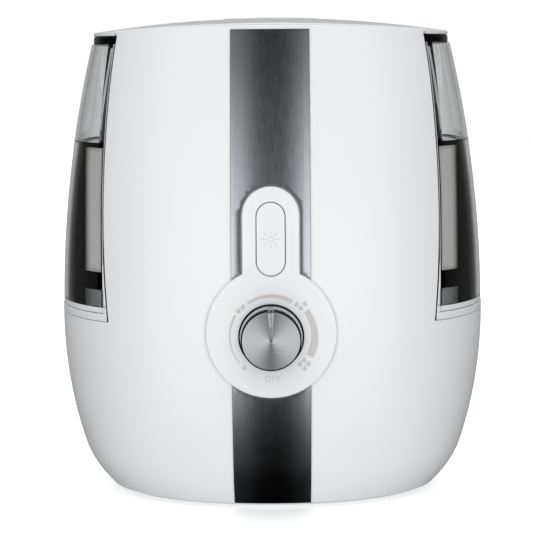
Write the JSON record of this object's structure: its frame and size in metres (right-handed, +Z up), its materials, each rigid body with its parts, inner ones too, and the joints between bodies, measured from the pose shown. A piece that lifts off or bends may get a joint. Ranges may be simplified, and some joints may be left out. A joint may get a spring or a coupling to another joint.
{
  "type": "cool mist humidifier",
  "caption": "Tabletop ultrasonic humidifier: barrel-shaped white housing, clear lift-out water tank with side windows, front dial, light button, domed lid with turning mist nozzle.",
  "frame": {"origin": "centre of the foot ring's underside, on the surface that the humidifier stands on", "axes": "+Z up; the dial, light button and metallic strip face -Y; +X is to the right seen from the front"},
  "size_m": [0.2548, 0.2261, 0.2873],
  "materials": {
    "housing_white": "gloss",
    "trim_white": "gloss",
    "inner_white": "satin",
    "foot_white": "matte",
    "strip_metal": "satin metallic",
    "dark_chrome": "polished",
    "pointer_metal": "spun",
    "steel": "satin",
    "zinc": "satin",
    "black_plastic": "matte",
    "lid_grey": "gloss",
    "tank_clear": "gloss",
    "tube_clear": "gloss",
    "board_green": "satin",
    "led_clear": "gloss",
    "silicone_grey": "matte",
    "sealing_white": "matte",
    "transducer_metal": "polished",
    "sink_aluminium": "satin",
    "transformer_core": "satin",
    "float_foam": "matte",
    "cap_blue": "satin",
    "cartridge_white": "satin"
  },
  "bodies": {
    "base": {"front_housing": "housing_white", "rear_housing": "housing_white", "front_liner": "inner_white", "rear_liner": "inner_white", "base_cover": "inner_white", "foot_ring": "foot_white", "cover_screws": "zinc", "basin": "trim_white", "basin_floor": "trim_white", "basin_posts": "trim_white", "basin_rim": "trim_white", "rim_lips": "trim_white", "chamber_ring": "trim_white", "air_stack": "trim_white", "front_strip_upper": "strip_metal", "front_strip_lower": "strip_metal", "control_plate": "housing_white", "potentiometer": "black_plastic", "light_board": "board_green", "light_switch": "black_plastic", "night_light_leds": "led_clear", "transducer_disc": "transducer_metal", "transducer_seal": "silicone_grey", "transducer_clamp": "steel", "clamp_screws": "zinc", "heat_sink": "sink_aluminium", "driver_board": "board_green", "power_board": "board_green", "transformer": "transformer_core", "fan_housing": "black_plastic", "air_duct": "inner_white", "float_clip": "zinc", "cord_gland": "black_plastic"},
    "knob": {"knob": "dark_chrome", "knob_pointer": "pointer_metal", "knob_shaft": "steel"},
    "light_button": {"light_button": "housing_white"},
    "fan_rotor": {"fan_rotor": "black_plastic"},
    "float": {"float": "float_foam"},
    "tank": {"tank_shell": "tank_clear", "tank_base": "trim_white", "tank_seal": "black_plastic", "tank_collar": "black_plastic", "tank_lid": "lid_grey", "mist_tube": "tube_clear"},
    "handle": {"carry_handle": "lid_grey"},
    "nozzle": {"mist_nozzle": "lid_grey"},
    "filler_cap": {"tank_cap": "cap_blue", "cap_gasket": "sealing_white", "valve_spring": "steel", "mineral_cartridge": "cartridge_white"},
    "valve": {"valve_plunger": "cartridge_white", "valve_seal": "sealing_white"}
  },
  "joints": [
    {"name": "knob_turn", "type": "hinge", "parent": "base", "child": "knob", "pos_m": [0, -0.106, 0.108], "axis": [0, 1, 0], "range_deg": [-180, 131]},
    {"name": "light_button_press", "type": "slide", "parent": "base", "child": "light_button", "axis": [0, 1, 0], "range_m": [0, 0.0012], "stiffness_N_per_m": 800},
    {"name": "fan_spin", "type": "hinge", "parent": "base", "child": "fan_rotor", "pos_m": [0.038, -0.022, 0.016], "axis": [0, 0, 1], "continuous": true},
    {"name": "float_rise", "type": "slide", "parent": "base", "child": "float", "axis": [0, 0, 1], "range_m": [0, 0.014]},
    {"name": "tank_lift", "type": "slide", "parent": "base", "child": "tank", "axis": [0, 0, 1], "range_m": [0, 0.2]},
    {"name": "handle_swing", "type": "hinge", "parent": "tank", "child": "handle", "pos_m": [0, 0, 0.281], "axis": [1, 0, 0], "range_deg": [0, 90]},
    {"name": "nozzle_turn", "type": "hinge", "parent": "tank", "child": "nozzle", "pos_m": [0, 0, 0.28], "axis": [0, 0, 1], "continuous": true},
    {"name": "cap_turn", "type": "hinge", "parent": "tank", "child": "filler_cap", "pos_m": [-0.055, 0, 0.1], "axis": [0, 0, -1], "range_deg": [0, 300]},
    {"name": "valve_close", "type": "slide", "parent": "filler_cap", "child": "valve", "axis": [0, 0, 1], "range_m": [-0.004, 0], "deforming": ["valve_spring"]}
  ],
  "couplings": [
    {"joint": "valve_close", "follows": "tank_lift", "ratio": -0.02}
  ]
}
